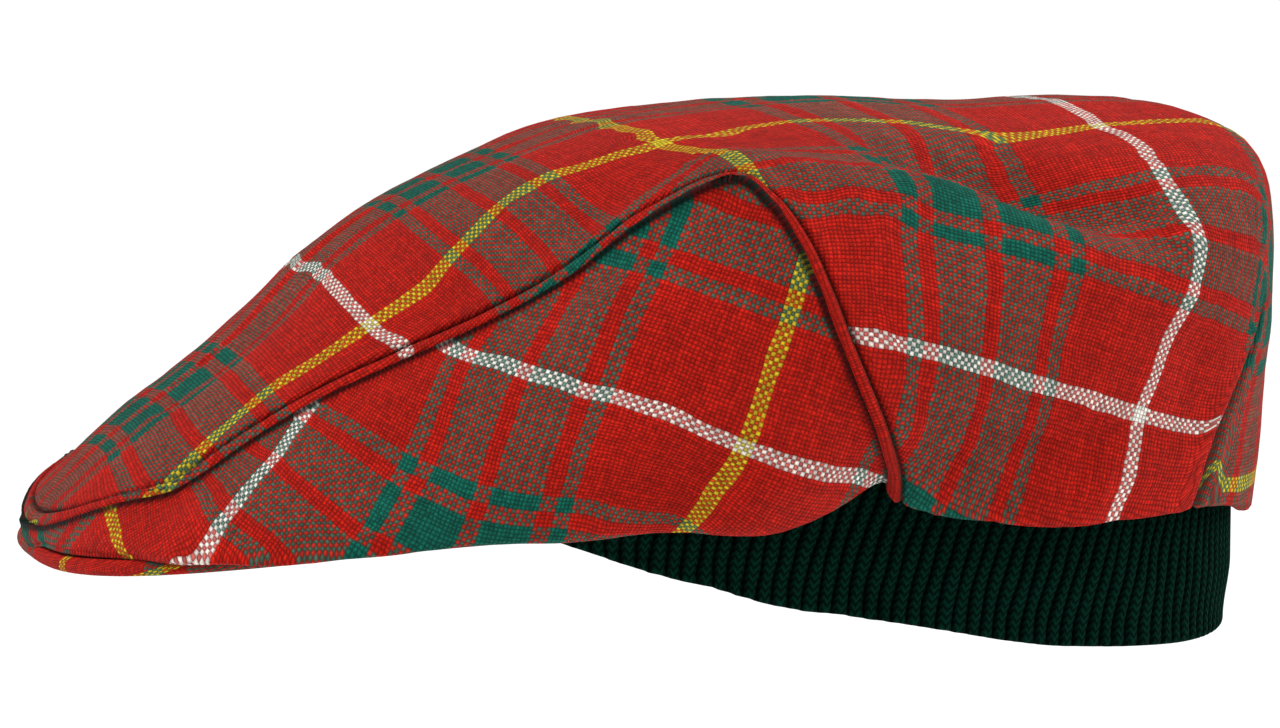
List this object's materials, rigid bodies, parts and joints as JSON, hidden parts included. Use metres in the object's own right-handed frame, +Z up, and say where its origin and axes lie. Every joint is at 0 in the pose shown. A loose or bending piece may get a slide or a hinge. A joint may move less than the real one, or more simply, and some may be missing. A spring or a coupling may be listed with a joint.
{
  "type": "flat cap",
  "caption": "Tartan flat cap with a full crown lapped over the side panels and the peak, and a ribbed knit ear and neck band below the rim.",
  "frame": {"origin": "middle of the head opening, at the height where the knit band meets the cloth", "axes": "+Z up, the peak towards -Y, the back of the head towards +Y, the wearer's left towards +X"},
  "size_m": [0.2106, 0.2734, 0.1179],
  "materials": {
    "crown_tweed": "red tartan wool tweed with green, yellow and white stripes",
    "side_tweed": "the same red tartan wool tweed, cut across its length",
    "peak_tweed": "the same red tartan wool tweed, drawn over a board and stitched",
    "rib_knit": "dark bottle green wool rib knit"
  },
  "bodies": {
    "root": {"crown": "crown_tweed", "side_panel_left": "side_tweed", "side_panel_right": "side_tweed", "peak": "peak_tweed", "knit_band": "rib_knit"}
  },
  "joints": []
}
